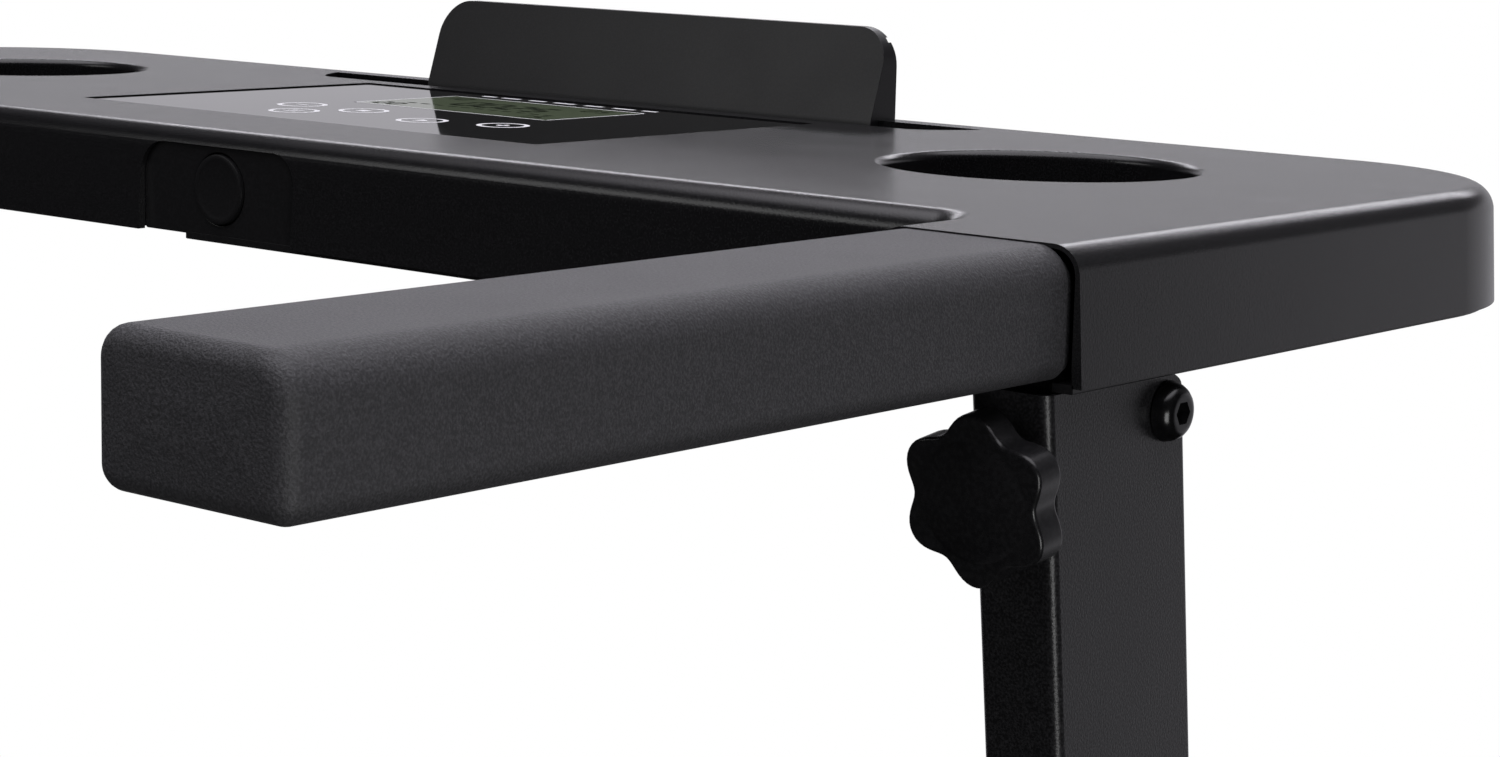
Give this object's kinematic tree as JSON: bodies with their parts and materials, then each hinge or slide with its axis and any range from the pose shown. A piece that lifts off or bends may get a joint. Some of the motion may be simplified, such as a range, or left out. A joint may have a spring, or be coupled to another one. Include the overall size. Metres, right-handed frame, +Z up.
{
  "type": "treadmill",
  "caption": "Folding home treadmill: powered deck, raked uprights, flat tray console with display, cup wells, tablet rest and foam handrails.",
  "frame": {"origin": "on the floor, under the middle of the machine's bounding box", "axes": "+X to the user's right, +Y the way the user faces, +Z up"},
  "size_m": [0.6958, 1.26, 1.1185],
  "materials": {
    "console_plastic": "fine-textured black ABS, satin",
    "dark_plastic": "moulded black plastic, semi-matte",
    "gloss_panel": "black glossy display sheet with printed white marks",
    "lcd": "grey-green reflective display",
    "circuit_board": "green solder mask",
    "foam": "grainy closed-cell foam, matte",
    "painted_steel": "black powder coat, fine orange peel",
    "zinc_steel": "zinc plated, turned",
    "black_steel": "black oxide",
    "cast_metal": "raw cast, matte",
    "rubber": "black rubber, matte",
    "belt": "ribbed black running belt",
    "deck_board": "waxed dark fibreboard",
    "red_plastic": "translucent red rocker"
  },
  "bodies": {
    "base": {"right_frame_rail": "painted_steel", "left_frame_rail": "painted_steel", "rear_crossmember": "painted_steel", "middle_crossmember": "painted_steel", "front_crossmember": "painted_steel", "running_deck": "deck_board", "right_foot_rail": "dark_plastic", "left_foot_rail": "dark_plastic", "right_rear_end_cap": "dark_plastic", "left_rear_end_cap": "dark_plastic", "right_rear_foot": "rubber", "left_rear_foot": "rubber", "right_front_foot": "rubber", "left_front_foot": "rubber", "front_axle": "black_steel", "rear_axle": "black_steel", "running_belt": "belt", "drive_motor": "black_steel", "drive_belt": "rubber", "motor_tray": "painted_steel", "motor_controller": "cast_metal", "motor_hood": "console_plastic", "power_panel": "dark_plastic", "right_upright_bracket": "painted_steel", "left_upright_bracket": "painted_steel", "right_base_bolt": "black_steel", "left_base_bolt": "black_steel", "right_wheel_bolt": "zinc_steel", "left_wheel_bolt": "zinc_steel"},
    "uprights": {"right_upright": "painted_steel", "left_upright": "painted_steel", "right_console_bolt": "black_steel", "left_console_bolt": "black_steel"},
    "console": {"console_top_shell": "console_plastic", "console_bottom_cover": "dark_plastic", "display_lens": "gloss_panel", "lcd_module": "lcd", "control_board": "circuit_board", "tablet_rest": "dark_plastic", "safety_key_socket": "dark_plastic", "console_crossbar": "painted_steel", "right_handrail_tube": "painted_steel", "left_handrail_tube": "painted_steel", "right_handrail_foam": "foam", "left_handrail_foam": "foam", "right_pivot_tongue": "painted_steel", "left_pivot_tongue": "painted_steel"},
    "front_drum": {"front_roller": "zinc_steel", "roller_pulley": "cast_metal"},
    "rear_drum": {"rear_roller": "zinc_steel"},
    "rotor": {"motor_rotor": "cast_metal"},
    "right_wheel": {"right_transport_wheel": "rubber"},
    "left_wheel": {"left_transport_wheel": "rubber"},
    "right_clamp": {"right_clamp_knob": "dark_plastic"},
    "left_clamp": {"left_clamp_knob": "dark_plastic"},
    "right_lock": {"right_lock_knob": "dark_plastic"},
    "left_lock": {"left_lock_knob": "dark_plastic"},
    "rocker": {"power_rocker": "red_plastic"},
    "key": {"safety_key": "dark_plastic"}
  },
  "joints": [
    {"name": "upright_fold", "type": "hinge", "parent": "base", "child": "uprights", "pos_m": [0, 0.43, 0.105], "axis": [1, 0, 0], "range_deg": [0, 83]},
    {"name": "console_fold", "type": "hinge", "parent": "uprights", "child": "console", "pos_m": [0, 0.33287, 1.0491], "axis": [1, 0, 0], "range_deg": [-83, 0]},
    {"name": "front_roller_spin", "type": "hinge", "parent": "base", "child": "front_drum", "pos_m": [0, 0.405, 0.0764], "axis": [1, 0, 0], "continuous": true},
    {"name": "rear_roller_spin", "type": "hinge", "parent": "base", "child": "rear_drum", "pos_m": [0, -0.59, 0.0764], "axis": [1, 0, 0], "continuous": true},
    {"name": "motor_spin", "type": "hinge", "parent": "base", "child": "rotor", "pos_m": [0, 0.535, 0.106], "axis": [1, 0, 0], "continuous": true},
    {"name": "right_wheel_spin", "type": "hinge", "parent": "base", "child": "right_wheel", "pos_m": [0.298, 0.585, 0.032], "axis": [1, 0, 0], "continuous": true},
    {"name": "left_wheel_spin", "type": "hinge", "parent": "base", "child": "left_wheel", "pos_m": [-0.298, 0.585, 0.032], "axis": [1, 0, 0], "continuous": true},
    {"name": "right_clamp_turn", "type": "hinge", "parent": "uprights", "child": "right_clamp", "pos_m": [0.3165, 0.28788, 1.03642], "axis": [0, -0.9925, -0.1219], "continuous": true},
    {"name": "left_clamp_turn", "type": "hinge", "parent": "uprights", "child": "left_clamp", "pos_m": [-0.3165, 0.28788, 1.03642], "axis": [0, -0.9925, -0.1219], "continuous": true},
    {"name": "right_lock_turn", "type": "hinge", "parent": "base", "child": "right_lock", "pos_m": [0.34, 0.42488, 0.14669], "axis": [1, 0, 0], "continuous": true},
    {"name": "left_lock_turn", "type": "hinge", "parent": "base", "child": "left_lock", "pos_m": [-0.34, 0.42488, 0.14669], "axis": [-1, 0, 0], "continuous": true},
    {"name": "power_rocker_tip", "type": "hinge", "parent": "base", "child": "rocker", "pos_m": [0.166, 0.624, 0.122], "axis": [0, 0, 1], "range_deg": [0, 14]},
    {"name": "safety_key_pull", "type": "slide", "parent": "console", "child": "key", "axis": [0, -1, 0], "range_m": [0, 0.06]}
  ],
  "couplings": [
    {"joint": "console_fold", "follows": "upright_fold", "ratio": -1},
    {"joint": "rear_roller_spin", "follows": "front_roller_spin", "ratio": 1},
    {"joint": "motor_spin", "follows": "front_roller_spin", "ratio": 2.3636}
  ]
}
